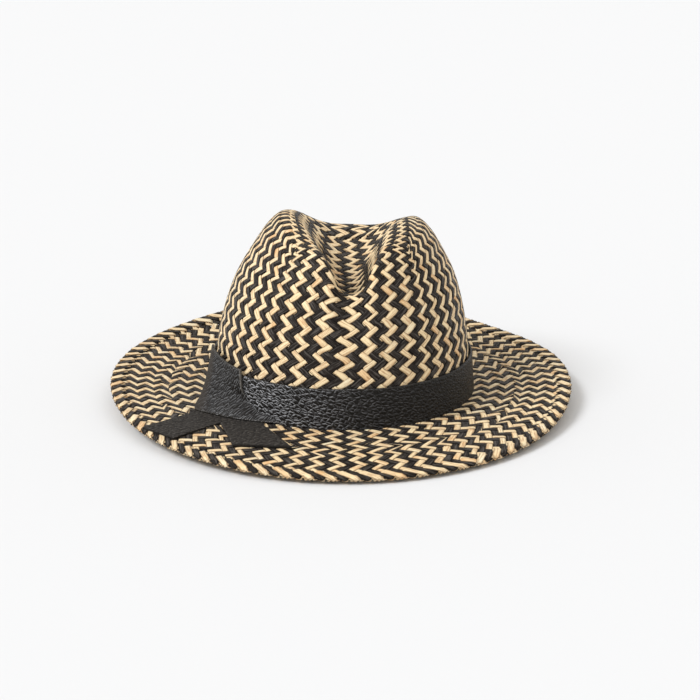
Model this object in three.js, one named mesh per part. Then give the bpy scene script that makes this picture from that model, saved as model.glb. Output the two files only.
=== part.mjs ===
// A straw fedora with a knotted leather band, resting on its brim. Millimetres, +Z up.
// The front of the hat faces -Y. The hat frame has its origin at the middle of the join
// of crown and brim; restingPlace() tips that frame to the way the hat stands by itself.
import * as THREE from "three";
import { mergeVertices } from "three/addons/utils/BufferGeometryUtils.js";

// Thicknesses and gaps
const STRAW = 2.0;
const RIM_EXTRA = 0.5;
const LEATHER = 1.6;
const GAP = 0.3;

// Crown, measured outside
const BASE_HALF_WIDTH = 86.5;
const BASE_HALF_LENGTH = 101.5;
const CROWN_HEIGHT = 117;
const CROWN_LEAN = 5.5;
const CREST_SLOPE = 1.3;
const CREST_BOW = 3;
const CREST_UNIT = 60;

// Outline of the undented crown, from the join up and over to the middle of the top.
// height, width and length are fractions of the crown's own sizes.
const CROWN_SECTIONS = [
  { height: 0.0, width: 1.0, length: 1.0 },
  { height: 0.15, width: 0.985, length: 0.985 },
  { height: 0.32, width: 0.962, length: 0.968 },
  { height: 0.5, width: 0.915, length: 0.945 },
  { height: 0.67, width: 0.84, length: 0.91 },
  { height: 0.81, width: 0.735, length: 0.865 },
  { height: 0.91, width: 0.64, length: 0.8 },
  { height: 0.97, width: 0.54, length: 0.71 },
  { height: 0.995, width: 0.4, length: 0.58 },
  { height: 1.0, width: 0.24, length: 0.38 },
  { height: 1.0, width: 0.0, length: 0.0 },
];

// Valley pressed along the top of the crown, in even steps from front to back. It drops
// behind the front lip and widens backwards, which makes the V notch seen from the front.
const VALLEY_SPAN = 85;
const VALLEY = [
  { depth: 18, spread: 8, middle: 3 },
  { depth: 37, spread: 12, middle: 3 },
  { depth: 36, spread: 15, middle: 2 },
  { depth: 32, spread: 20, middle: 4 },
  { depth: 25.5, spread: 25, middle: 7 },
  { depth: 18, spread: 26, middle: 9 },
  { depth: 13, spread: 26, middle: 9 },
];
const VALLEY_SQUARENESS = 3;

// The left side of the top stands a little higher in one round peak
const PEAK = { x: -35, y: 10, height: 4.5, halfWidth: 14, halfLength: 40 };

// Brim in eight directions, counted in degrees from +X towards +Y. reach is its width
// and lift is how far its edge stands above the join.
const BRIM_DIRECTIONS = [
  { angle: 0, reach: 66, lift: 6.8 },
  { angle: 45, reach: 67, lift: 9 },
  { angle: 90, reach: 69, lift: 20 },
  { angle: 135, reach: 69, lift: 12 },
  { angle: 180, reach: 68, lift: 6.7 },
  { angle: 225, reach: 69, lift: -4.2 },
  { angle: 270, reach: 70, lift: -9.8 },
  { angle: 315, reach: 68, lift: -6 },
];
const BRIM_SLOPE_SHARE = 0.6;
const RIM_WIDTH = 8;

// Leather band round the crown
const BAND_BOTTOM = 0.8;
const BAND_TOP = 27;

// Knot: the strap's loop over the band. rise runs from the loop's bottom edge to its top,
// start, fold and end are directions round the crown in degrees, and bulge is how far
// the fold stands off the crown.
const LOOP_GAP = 0.6;
const LOOP_BOTTOM = 2.6;
const LOOP_START_TOP = 27.5;
const LOOP_FOLD_TOP = 36;
const LOOP_END_TOP = 34;
const LOOP_ROUNDING = 0.2;
const LOOP_FLARE = 1.3;
const LOOP_ROWS = [
  { rise: 0, start: 242, fold: 207.5, end: 190, bulge: 20 },
  { rise: 0.25, start: 226, fold: 206, end: 190, bulge: 14 },
  { rise: 0.5, start: 221.5, fold: 204.5, end: 189, bulge: 10 },
  { rise: 0.75, start: 220, fold: 201, end: 188, bulge: 6 },
  { rise: 1, start: 219, fold: 196, end: 187, bulge: 2.2 },
];

// Tails of the strap on the brim, in plan: the two long edges, from root to cut end
const TAILS = {
  tail_left: [
    { aX: -87.8, aY: -50, bX: -67.7, bY: -70.3 },
    { aX: -108.9, aY: -70.3, bX: -88.9, bY: -89.7 },
    { aX: -130, aY: -90.6, bX: -110, bY: -109 },
  ],
  tail_right: [
    { aX: -68.6, aY: -72.3, bX: -50.5, bY: -86.4 },
    { aX: -76.6, aY: -80.6, bX: -49, bY: -91 },
    { aX: -67.5, aY: -117, bX: -33.5, bY: -124 },
  ],
};
const TAIL_CURL = 1.2;

// How the hat stands: tipped back a little, on the front of its brim and the back of its
// join. Its lowest straw is pressed flat.
const REST_TILT = -2.17;
const REST_LIFT = 5.0;
const CENTRE_X = 1.0;
const CENTRE_Y = 0.4;

// Fineness of the meshes. The steps round the hat are closer together at the notch.
const ROUND_STEPS = 64;
const FRONT_CROWDING = 0.35;
const CROWN_STEPS = 25;
const BRIM_STEPS = 8;
const BAND_STEPS = 3;

const degrees = THREE.MathUtils.degToRad;

// A smooth curve through the values, and its closed form for values round a ring
function catmullRom(a, b, c, d, f) {
  const line = 2 * b + (c - a) * f;
  const square = (2 * a - 5 * b + 4 * c - d) * f * f;
  return 0.5 * (line + square + (3 * b - 3 * c + d - a) * f ** 3);
}

function along(rows, name, t) {
  const last = rows.length - 1;
  const place = THREE.MathUtils.clamp(t, 0, 1) * last;
  const i = Math.min(Math.floor(place), last - 1);
  const value = (k) => rows[THREE.MathUtils.clamp(k, 0, last)][name];
  return catmullRom(value(i - 1), value(i), value(i + 1), value(i + 2), place - i);
}

function around(rows, name, angle) {
  const turn = (((angle / (2 * Math.PI)) % 1) + 1) % 1;
  const place = turn * rows.length;
  const i = Math.floor(place);
  const value = (k) => rows[(k + rows.length) % rows.length][name];
  return catmullRom(value(i - 1), value(i), value(i + 1), value(i + 2), place - i);
}

const bell = (x, squareness = 2) => Math.exp(-0.5 * Math.abs(x) ** squareness);

// Outside of the crown: angle goes round it, t from the join to the middle of the top
function crownPoint(angle, t) {
  const height = along(CROWN_SECTIONS, "height", t);
  const flatX = BASE_HALF_WIDTH * along(CROWN_SECTIONS, "width", t) * Math.cos(angle);
  const x = flatX + CROWN_LEAN * height * height;
  const y = BASE_HALF_LENGTH * along(CROWN_SECTIONS, "length", t) * Math.sin(angle);
  const back = (y + VALLEY_SPAN) / (2 * VALLEY_SPAN);
  const offMiddle = (x - along(VALLEY, "middle", back)) / along(VALLEY, "spread", back);
  const valley = bell(offMiddle, VALLEY_SQUARENESS);
  const crest = CROWN_HEIGHT + (CREST_SLOPE * y) / CREST_UNIT - CREST_BOW * (y / CREST_UNIT) ** 2;
  const peakPlace = Math.hypot((x - PEAK.x) / PEAK.halfWidth, (y - PEAK.y) / PEAK.halfLength);
  const top = crest - along(VALLEY, "depth", back) * valley + PEAK.height * bell(peakPlace);
  return new THREE.Vector3(x, y, height * top);
}

// Direction straight out of the join's oval
function outward(angle) {
  const x = Math.cos(angle) / BASE_HALF_WIDTH;
  const y = Math.sin(angle) / BASE_HALF_LENGTH;
  return new THREE.Vector3(x, y, 0).normalize();
}

// Top face of the brim: d is 0 at the join and 1 at the edge
function brimPoint(angle, d) {
  const reach = around(BRIM_DIRECTIONS, "reach", angle) * d;
  const lift = around(BRIM_DIRECTIONS, "lift", angle);
  const x = BASE_HALF_WIDTH * Math.cos(angle);
  const y = BASE_HALF_LENGTH * Math.sin(angle);
  const z = lift * (BRIM_SLOPE_SHARE * d + (1 - BRIM_SLOPE_SHARE) * d ** 3);
  return new THREE.Vector3(x, y, z).addScaledVector(outward(angle), reach);
}

// Direction square to a surface given by two numbers, found from its slopes
function squareTo(surface, u, v, step = 1e-3) {
  const across = surface(u + step, v).sub(surface(u - step, v));
  const up = surface(u, v + step).sub(surface(u, v - step));
  return across.cross(up).normalize();
}

// Point of the crown's outside at a height above the join, pushed out by a distance
function wallPoint(angle, height, out) {
  let low = 0;
  let high = 0.6;
  for (let i = 0; i < 30; i += 1) {
    const middle = (low + high) / 2;
    if (crownPoint(angle, middle).z < height) low = middle;
    else high = middle;
  }
  const point = crownPoint(angle, low);
  point.z = height;
  return point.addScaledVector(outward(angle), out);
}

// From the hat frame to the resting hat
const TILT = degrees(REST_TILT);
function restingPlace(p) {
  const y = p.y * Math.cos(TILT) - p.z * Math.sin(TILT) + CENTRE_Y;
  const z = p.y * Math.sin(TILT) + p.z * Math.cos(TILT) + REST_LIFT;
  return new THREE.Vector3(p.x + CENTRE_X, y, Math.max(z, 0));
}

// Closes quads between rows of points into one body with its faces out. Each row is a
// ring of points; the rows themselves are a ring too, or the two end rows are capped.
function closedBody(rows, ringOfRows) {
  const corners = [];
  const triangle = (a, b, c) => corners.push(...a.toArray(), ...b.toArray(), ...c.toArray());
  const count = rows[0].length;
  const bands = ringOfRows ? rows.length : rows.length - 1;
  for (let i = 0; i < bands; i += 1) {
    const row = rows[i];
    const next = rows[(i + 1) % rows.length];
    for (let j = 0; j < count; j += 1) {
      const k = (j + 1) % count;
      triangle(row[j], next[j], next[k]);
      triangle(row[j], next[k], row[k]);
    }
  }
  if (!ringOfRows) {
    for (const row of [rows[0], rows[rows.length - 1]]) {
      for (let j = 0; j < count / 2 - 1; j += 1) {
        const quad = [row[j], row[j + 1], row[count - 2 - j], row[count - 1 - j]];
        if (row === rows[0]) quad.reverse();
        triangle(quad[0], quad[2], quad[1]);
        triangle(quad[0], quad[3], quad[2]);
      }
    }
  }
  const loose = new THREE.BufferGeometry();
  loose.setAttribute("position", new THREE.Float32BufferAttribute(corners, 3));
  const merged = mergeVertices(loose, 1e-4);
  const kept = [];
  const index = merged.getIndex().array;
  for (let i = 0; i < index.length; i += 3) {
    const [a, b, c] = index.subarray(i, i + 3);
    if (a !== b && b !== c && c !== a) kept.push(a, b, c);
  }
  const turned = signedVolume(merged, kept) < 0;
  merged.setIndex(turned ? kept.reverse() : kept);
  merged.computeVertexNormals();
  return merged;
}

function signedVolume(geometry, index) {
  const place = geometry.getAttribute("position");
  const corner = (k) => new THREE.Vector3().fromBufferAttribute(place, index[k]);
  let volume = 0;
  for (let i = 0; i < index.length; i += 3) {
    volume += corner(i).dot(corner(i + 1).cross(corner(i + 2))) / 6;
  }
  return volume;
}

function piece(name, geometry, colour, roughness) {
  const material = new THREE.MeshStandardMaterial({ color: colour, roughness, metalness: 0 });
  const mesh = new THREE.Mesh(geometry, material);
  mesh.name = name;
  return mesh;
}

// Angles round the hat for the rows of a ring-shaped body
function ringAngles() {
  const even = Array.from({ length: ROUND_STEPS }, (_, i) => (2 * Math.PI * i) / ROUND_STEPS);
  return even.map((angle) => angle - FRONT_CROWDING * Math.cos(angle));
}

// The crown is a bowl: at each angle its section runs up the outside to the middle of
// the top and back down the inside. Both sides meet the middle in one shared point.
function crown() {
  const foot = wallPoint(0, GAP, 0).z;
  const rows = ringAngles().map((angle) => {
    const outside = [];
    const inside = [];
    for (let j = 0; j <= CROWN_STEPS; j += 1) {
      const t = j / CROWN_STEPS;
      const top = j === CROWN_STEPS;
      const out = crownPoint(top ? 0 : angle, t);
      const square = top ? new THREE.Vector3(0, 0, 1) : squareTo(crownPoint, angle, t);
      if (j === 0) out.z = foot;
      if (j === 0) square.setZ(0).normalize();
      inside.push(out.clone().addScaledVector(square, -STRAW));
      outside.push(out);
    }
    return [...outside, ...inside.reverse()].map(restingPlace);
  });
  return closedBody(rows, true);
}

// The brim is a flat ring under the crown's foot, a little thicker at its turned edge
function brim() {
  const rimStart = (angle) => 1 - RIM_WIDTH / around(BRIM_DIRECTIONS, "reach", angle);
  const rows = ringAngles().map((angle) => {
    const top = [];
    const bottom = [];
    const inner = brimPoint(angle, 0).addScaledVector(outward(angle), -STRAW);
    const section = [inner];
    const thick = [STRAW];
    for (let j = 0; j <= BRIM_STEPS; j += 1) {
      const d = (j / BRIM_STEPS) * rimStart(angle);
      section.push(brimPoint(angle, d));
      thick.push(STRAW);
    }
    for (const share of [0.12, 0.55, 1]) {
      const d = rimStart(angle) + share * (1 - rimStart(angle));
      section.push(brimPoint(angle, d).setZ(brimPoint(angle, d).z + RIM_EXTRA));
      thick.push(STRAW + 2 * RIM_EXTRA);
    }
    section.forEach((point, k) => {
      top.push(point);
      bottom.push(point.clone().setZ(point.z - thick[k]));
    });
    return [...top, ...bottom.reverse()].map(restingPlace);
  });
  return closedBody(rows, true);
}

// Leather band: a strip standing round the foot of the crown
function hatBand() {
  const rows = ringAngles().map((angle) => {
    const inside = [];
    const outside = [];
    for (let j = 0; j <= BAND_STEPS; j += 1) {
      const height = BAND_BOTTOM + ((BAND_TOP - BAND_BOTTOM) * j) / BAND_STEPS;
      inside.push(wallPoint(angle, height, GAP));
      outside.push(wallPoint(angle, height, GAP + LEATHER));
    }
    return [...outside, ...inside.reverse()].map(restingPlace);
  });
  return closedBody(rows, true);
}

// Distance of the loop's inner face from the crown: a rounded tent whose ridge is the fold
function loopBulge(share, foldShare, bulge) {
  const front = Math.max(share / foldShare, 0) ** LOOP_FLARE;
  const back = (1 - share) / (1 - foldShare);
  const near = Math.max(LOOP_ROUNDING - Math.abs(front - back), 0) / LOOP_ROUNDING;
  const tent = Math.min(front, back) - (near * near * LOOP_ROUNDING) / 4;
  return GAP + LEATHER + LOOP_GAP + bulge * Math.max(tent, 0);
}

// The loop of the knot: the strap turned up over the band and folded back to the crown
function bandLoop() {
  const columns = 15;
  const levels = 6;
  const rows = [];
  for (let i = 0; i <= columns; i += 1) {
    const inside = [];
    const outside = [];
    for (let j = 0; j <= levels; j += 1) {
      const rise = j / levels;
      const start = along(LOOP_ROWS, "start", rise);
      const fold = along(LOOP_ROWS, "fold", rise);
      const end = along(LOOP_ROWS, "end", rise);
      const foldShare = (start - fold) / (start - end);
      const share = i / columns;
      const angle = degrees(start + (end - start) * share);
      const lean = share < foldShare ? share / foldShare : 1;
      const startHeight = LOOP_BOTTOM + (LOOP_START_TOP - LOOP_BOTTOM) * rise;
      const backTop = share < foldShare ? LOOP_FOLD_TOP : LOOP_END_TOP;
      const foldHeight = LOOP_BOTTOM + (backTop - LOOP_BOTTOM) * rise;
      const height = startHeight + (foldHeight - startHeight) * lean;
      const out = loopBulge(share, foldShare, along(LOOP_ROWS, "bulge", rise));
      inside.push(wallPoint(angle, height, out));
      outside.push(wallPoint(angle, height, out + LEATHER));
    }
    rows.push([...outside, ...inside.reverse()].map(restingPlace));
  }
  return closedBody(rows, false);
}

// Height of the brim's top face under a point in plan, with the rim's extra thickness
function brimHeight(x, y) {
  let angle = Math.atan2(y / BASE_HALF_LENGTH, x / BASE_HALF_WIDTH);
  let reach = 0;
  for (let i = 0; i < 12; i += 1) {
    const foot = brimPoint(angle, 0);
    const out = outward(angle);
    const away = new THREE.Vector3(x - foot.x, y - foot.y, 0);
    reach = away.dot(out);
    const slip = away.x * -out.y + away.y * out.x;
    angle += slip / (BASE_HALF_LENGTH + reach);
  }
  const d = reach / around(BRIM_DIRECTIONS, "reach", angle);
  return brimPoint(angle, Math.min(d, 1)).z;
}

// A tail of the strap, laid on the brim between its two long edges
function strapTail(edges) {
  const steps = 8;
  const across = 4;
  const rows = [];
  for (let i = 0; i <= steps; i += 1) {
    const place = (i / steps) * (edges.length - 1);
    const k = Math.min(Math.floor(place), edges.length - 2);
    const f = place - k;
    const mix = (name) => edges[k][name] * (1 - f) + edges[k + 1][name] * f;
    const under = [];
    const over = [];
    for (let j = 0; j <= across; j += 1) {
      const x = mix("aX") + (mix("bX") - mix("aX")) * (j / across);
      const y = mix("aY") + (mix("bY") - mix("aY")) * (j / across);
      const z = brimHeight(x, y) + GAP + RIM_EXTRA + TAIL_CURL * (i / steps) ** 2;
      under.push(new THREE.Vector3(x, y, z));
      over.push(new THREE.Vector3(x, y, z + LEATHER));
    }
    rows.push([...over, ...under.reverse()].map(restingPlace));
  }
  return closedBody(rows, false);
}

const STRAW_COLOUR = 0x8a7a60;
const LEATHER_COLOUR = 0x26252a;
const STRAW_ROUGHNESS = 0.75;
const LEATHER_ROUGHNESS = 0.5;

const hat = new THREE.Group();
hat.add(piece("crown", crown(), STRAW_COLOUR, STRAW_ROUGHNESS));
hat.add(piece("brim", brim(), STRAW_COLOUR, STRAW_ROUGHNESS));
hat.add(piece("hat_band", hatBand(), LEATHER_COLOUR, LEATHER_ROUGHNESS));
hat.add(piece("band_loop", bandLoop(), LEATHER_COLOUR, LEATHER_ROUGHNESS));
for (const [name, edges] of Object.entries(TAILS)) {
  hat.add(piece(name, strapTail(edges), LEATHER_COLOUR, LEATHER_ROUGHNESS));
}

export default hat;
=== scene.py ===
import math

import bpy
import numpy as np
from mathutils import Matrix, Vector


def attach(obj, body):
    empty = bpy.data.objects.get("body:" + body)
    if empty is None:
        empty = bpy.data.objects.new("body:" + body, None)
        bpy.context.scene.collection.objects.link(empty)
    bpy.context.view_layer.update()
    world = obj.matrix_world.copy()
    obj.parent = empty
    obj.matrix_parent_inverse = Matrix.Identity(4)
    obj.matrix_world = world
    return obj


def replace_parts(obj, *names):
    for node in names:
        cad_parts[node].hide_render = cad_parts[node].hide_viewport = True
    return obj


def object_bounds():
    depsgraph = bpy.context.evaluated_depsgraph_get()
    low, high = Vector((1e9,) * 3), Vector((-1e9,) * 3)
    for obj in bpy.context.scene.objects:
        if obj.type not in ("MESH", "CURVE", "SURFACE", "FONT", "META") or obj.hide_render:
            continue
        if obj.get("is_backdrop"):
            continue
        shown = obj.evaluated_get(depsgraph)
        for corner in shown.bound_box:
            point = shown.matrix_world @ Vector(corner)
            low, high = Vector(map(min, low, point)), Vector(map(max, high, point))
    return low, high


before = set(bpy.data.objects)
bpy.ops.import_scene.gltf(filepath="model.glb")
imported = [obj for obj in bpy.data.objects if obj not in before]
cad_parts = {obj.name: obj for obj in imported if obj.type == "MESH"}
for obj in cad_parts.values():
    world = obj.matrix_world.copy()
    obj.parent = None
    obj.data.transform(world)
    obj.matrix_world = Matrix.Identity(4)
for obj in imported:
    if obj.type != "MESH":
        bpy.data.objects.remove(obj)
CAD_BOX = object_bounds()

# The looks of a straw fedora. The shape is worked out in millimetres in the hat's own frame,
# as in the part, and each finished mesh is tipped to the way the hat stands, in metres.
MM = 0.001

# Thicknesses
STRAW = 2.0
RIM_EXTRA = 0.5
LEATHER = 1.6
GAP = 0.3

# How often each search for a place halves or mends its guess
PLAN_HALVINGS = 40
WALL_HALVINGS = 30
BRIM_MENDINGS = 12

# Steps of the fine rings and lines along which crossings are spaced
JOIN_STEPS = 4000
BRIM_STEPS = 2000
COLUMN_STEPS = 120
MAT_LINE_STEPS = 400

# Short step that finds which way a surface faces
SLOPE_STEP = 1e-3

# Crown, measured outside
BASE_HALF_WIDTH = 86.5
BASE_HALF_LENGTH = 101.5
CROWN_HEIGHT = 117
CROWN_LEAN = 5.5
CREST_SLOPE = 1.3
CREST_BOW = 3
CREST_UNIT = 60
CROWN_SECTIONS = [
    dict(height=0.0, width=1.0, length=1.0),
    dict(height=0.15, width=0.985, length=0.985),
    dict(height=0.32, width=0.962, length=0.968),
    dict(height=0.5, width=0.915, length=0.945),
    dict(height=0.67, width=0.84, length=0.91),
    dict(height=0.81, width=0.735, length=0.865),
    dict(height=0.91, width=0.64, length=0.8),
    dict(height=0.97, width=0.54, length=0.71),
    dict(height=0.995, width=0.4, length=0.58),
    dict(height=1.0, width=0.24, length=0.38),
    dict(height=1.0, width=0.0, length=0.0),
]

# The wall ends below this share of the way from the join to the top's middle
WALL_TOP = 0.6

# Valley pressed along the top, front to back, and the higher peak on its left
VALLEY_SPAN = 85
VALLEY = [
    dict(depth=18, spread=8, middle=3),
    dict(depth=37, spread=12, middle=3),
    dict(depth=36, spread=15, middle=2),
    dict(depth=32, spread=20, middle=4),
    dict(depth=25.5, spread=25, middle=7),
    dict(depth=18, spread=26, middle=9),
    dict(depth=13, spread=26, middle=9),
]
VALLEY_SQUARENESS = 3
PEAK = dict(x=-35, y=10, height=4.5, half_width=14, half_length=40)

# Brim in eight directions, every 45 degrees from +X towards +Y
BRIM_DIRECTIONS = [
    dict(reach=66, lift=6.8),
    dict(reach=67, lift=9),
    dict(reach=69, lift=20),
    dict(reach=69, lift=12),
    dict(reach=68, lift=6.7),
    dict(reach=69, lift=-4.2),
    dict(reach=70, lift=-9.8),
    dict(reach=68, lift=-6),
]
BRIM_SLOPE_SHARE = 0.6
RIM_WIDTH = 8

# How the hat stands
REST_TILT = math.radians(-2.17)
REST_LIFT = 5.0
CENTRE_X = 1.0
CENTRE_Y = 0.4

# The plaiting. A column is one zigzag of natural straw with the black one beside it, and holds
# two strands each way, a natural and a black. A row is one whole zig and zag, four crossings
# high, as every strand goes over two and under two. The black strands are the wider ones.
STRANDS = 2
CROSSINGS = 4
STRAND_HALF_THICK = 0.28
WEAVE_DEPTH = 0.36
STRAND_WIDTHS = {"natural": 0.93, "black": 1.07}

# How much strands differ in width, and each along its way in two waves, in radians for a row,
# that start at up to WAVE_START
WIDTH_SPREAD = 0.13
WIDTH_WOBBLE = 0.08
SLOW_WAVE = 2.1
QUICK_WAVE = 4.7
WAVE_START = 7

# The crown's columns and rows, and where its zigzags turn
CROWN_ROWS = 12
MAT_HALF_COLUMNS = 4
MAT_ROWS = 12
CROWN_COLUMNS = 4 * MAT_HALF_COLUMNS + 2 * MAT_ROWS
CROWN_PHASE = 3


def catmull_rom(a, b, c, d, f):
    line = 2 * b + (c - a) * f
    square = (2 * a - 5 * b + 4 * c - d) * f * f
    return 0.5 * (line + square + (3 * b - 3 * c + d - a) * f**3)


def along(rows, name, t):
    """A smooth curve through a table's column, from its first row to its last."""
    values = np.array([row[name] for row in rows], float)
    last = len(values) - 1
    place = np.clip(t, 0, 1) * last
    i = np.minimum(np.floor(place).astype(int), last - 1)
    near = [values[np.clip(i + k, 0, last)] for k in (-1, 0, 1, 2)]
    return catmull_rom(*near, place - i)


def around(rows, name, angle):
    """A smooth closed curve through a table's column."""
    values = np.array([row[name] for row in rows], float)
    place = (np.asarray(angle) / (2 * np.pi)) % 1 * len(values)
    i = np.floor(place).astype(int)
    near = [values[(i + k) % len(values)] for k in (-1, 0, 1, 2)]
    return catmull_rom(*near, place - i)


def bell(x, squareness=2):
    return np.exp(-0.5 * np.abs(x) ** squareness)


def smooth_step(x):
    x = np.clip(x, 0, 1)
    return x * x * (3 - 2 * x)


def unit(v):
    return v / np.maximum(np.linalg.norm(v, axis=-1, keepdims=True), 1e-9)


def points(x, y, z):
    return np.stack(np.broadcast_arrays(x, y, z), axis=-1).astype(float)


def run_along(path):
    """Length of a path up to each of its points."""
    steps = np.linalg.norm(np.diff(path, axis=0), axis=-1)
    return np.concatenate([np.zeros((1,) + steps.shape[1:]), np.cumsum(steps, axis=0)])


def crown_top(x, y):
    """Height that the crown has over a place in plan, before its sides round off."""
    back = (y + VALLEY_SPAN) / (2 * VALLEY_SPAN)
    off_middle = (x - along(VALLEY, "middle", back)) / along(VALLEY, "spread", back)
    valley = bell(off_middle, VALLEY_SQUARENESS)
    crest = CROWN_HEIGHT + CREST_SLOPE * y / CREST_UNIT - CREST_BOW * (y / CREST_UNIT) ** 2
    off_x = (x - PEAK["x"]) / PEAK["half_width"]
    off_y = (y - PEAK["y"]) / PEAK["half_length"]
    return crest - along(VALLEY, "depth", back) * valley + PEAK["height"] * bell(np.hypot(off_x, off_y))


def crown_point(angle, t):
    """Outside of the crown: angle goes round it, t from the join to the middle of the top."""
    height = along(CROWN_SECTIONS, "height", t)
    x = BASE_HALF_WIDTH * along(CROWN_SECTIONS, "width", t) * np.cos(angle) + CROWN_LEAN * height**2
    y = BASE_HALF_LENGTH * along(CROWN_SECTIONS, "length", t) * np.sin(angle)
    return points(x, y, height * crown_top(x, y))


def crown_under(x, y):
    """The angle and t of the crown's outside at a place in plan."""
    low = np.zeros(np.shape(x))
    high = np.ones(np.shape(x))
    for _ in range(PLAN_HALVINGS):
        t = (low + high) / 2
        lean = CROWN_LEAN * along(CROWN_SECTIONS, "height", t) ** 2
        a = (x - lean) / (BASE_HALF_WIDTH * along(CROWN_SECTIONS, "width", t) + 1e-6)
        b = y / (BASE_HALF_LENGTH * along(CROWN_SECTIONS, "length", t) + 1e-6)
        beyond = a * a + b * b > 1
        high = np.where(beyond, t, high)
        low = np.where(beyond, low, t)
    return np.arctan2(b, a), t


def crown_over(x, y):
    """Outside of the crown's top over a place in plan."""
    _, t = crown_under(x, y)
    return points(x, y, along(CROWN_SECTIONS, "height", t) * crown_top(x, y))


def join_point(angle, height=0):
    """A place on the oval where crown and brim join, or over it."""
    return points(BASE_HALF_WIDTH * np.cos(angle), BASE_HALF_LENGTH * np.sin(angle), height)


def outward(angle):
    """Direction straight out of the join's oval."""
    return unit(points(np.cos(angle) / BASE_HALF_WIDTH, np.sin(angle) / BASE_HALF_LENGTH, 0))


def brim_point(angle, d):
    """Top face of the brim: d is 0 at the join and 1 at the edge."""
    lift = around(BRIM_DIRECTIONS, "lift", angle)
    height = lift * (BRIM_SLOPE_SHARE * d + (1 - BRIM_SLOPE_SHARE) * d**3)
    reach = around(BRIM_DIRECTIONS, "reach", angle) * d
    return join_point(angle, height) + outward(angle) * np.asarray(reach)[..., None]


def square_to(surface, u, v, step=SLOPE_STEP):
    """Direction square to a surface given by two numbers."""
    across = surface(u + step, v) - surface(u - step, v)
    up = surface(u, v + step) - surface(u, v - step)
    return unit(np.cross(across, up))


def wall_point(angle, height, out):
    """Outside of the crown's wall at a height, pushed out by a distance."""
    angle, height, out = np.broadcast_arrays(angle, np.asarray(height, float), out)
    low = np.zeros(height.shape)
    high = np.full(height.shape, WALL_TOP)
    for _ in range(WALL_HALVINGS):
        t = (low + high) / 2
        under = crown_point(angle, t)[..., 2] < height
        low = np.where(under, t, low)
        high = np.where(under, high, t)
    point = crown_point(angle, low)
    point[..., 2] = height
    return point + outward(angle) * out[..., None]


def brim_height(x, y):
    """Height of the brim's top face under a place in plan."""
    angle = np.arctan2(y / BASE_HALF_LENGTH, x / BASE_HALF_WIDTH)
    for _ in range(BRIM_MENDINGS):
        out = outward(angle)
        foot = join_point(angle)
        away_x, away_y = x - foot[..., 0], y - foot[..., 1]
        reach = away_x * out[..., 0] + away_y * out[..., 1]
        slip = away_y * out[..., 0] - away_x * out[..., 1]
        angle = angle + slip / (BASE_HALF_LENGTH + reach)
    d = reach / around(BRIM_DIRECTIONS, "reach", angle)
    return brim_point(angle, np.minimum(d, 1))[..., 2]


def resting(p):
    """From the hat's own frame in millimetres to the standing hat in metres."""
    y = p[..., 1] * math.cos(REST_TILT) - p[..., 2] * math.sin(REST_TILT) + CENTRE_Y
    z = p[..., 1] * math.sin(REST_TILT) + p[..., 2] * math.cos(REST_TILT) + REST_LIFT
    return points(p[..., 0] + CENTRE_X, y, np.maximum(z, 0)) * MM


# Meshes

def make_mesh(name, verts, faces, maps, marks, finish):
    """One object. faces is a list of arrays of corners, a row for each face. maps is
    {UV map: [corner places, as faces]} and marks is {attribute: a value for each vertex}."""
    mesh = bpy.data.meshes.new(name)
    corners = np.concatenate([f.ravel() for f in faces])
    sizes = np.concatenate([np.full(len(f), f.shape[1]) for f in faces])
    mesh.vertices.add(len(verts))
    mesh.vertices.foreach_set("co", np.ascontiguousarray(verts, np.float32).ravel())
    mesh.loops.add(len(corners))
    mesh.loops.foreach_set("vertex_index", corners.astype(np.int32))
    mesh.polygons.add(len(sizes))
    starts = np.concatenate([[0], np.cumsum(sizes)[:-1]]).astype(np.int32)
    mesh.polygons.foreach_set("loop_start", starts)
    mesh.update(calc_edges=True)
    for map_name, places in maps.items():
        layer = mesh.uv_layers.new(name=map_name)
        flat = np.concatenate([p.reshape(-1, 2) for p in places]).astype(np.float32)
        layer.data.foreach_set("uv", flat.ravel())
    for mark, values in marks.items():
        layer = mesh.attributes.new(mark, "FLOAT", "POINT")
        layer.data.foreach_set("value", np.asarray(values, np.float32))
    mesh.polygons.foreach_set("use_smooth", np.ones(len(sizes), bool))
    mesh.materials.append(finish)
    piece = bpy.data.objects.new(name, mesh)
    bpy.context.scene.collection.objects.link(piece)
    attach(piece, "root")
    return piece


# Cross-section of a straw strand: across in half widths, up in half thicknesses
STRAND_SECTION = [
    dict(across=-1.0, up=0.0),
    dict(across=-0.62, up=1.0),
    dict(across=0.62, up=1.0),
    dict(across=1.0, up=0.0),
    dict(across=0.62, up=-1.0),
    dict(across=-0.62, up=-1.0),
]

# On the straw's map, in metres: the way round a strand, and from one strand to the next
STRIP_WRAP = 0.0065
STRIP_STEP = 0.0131

# On the bake's map: the part of a strip that is left free at each side
STRIP_MARGIN = 0.04


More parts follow.
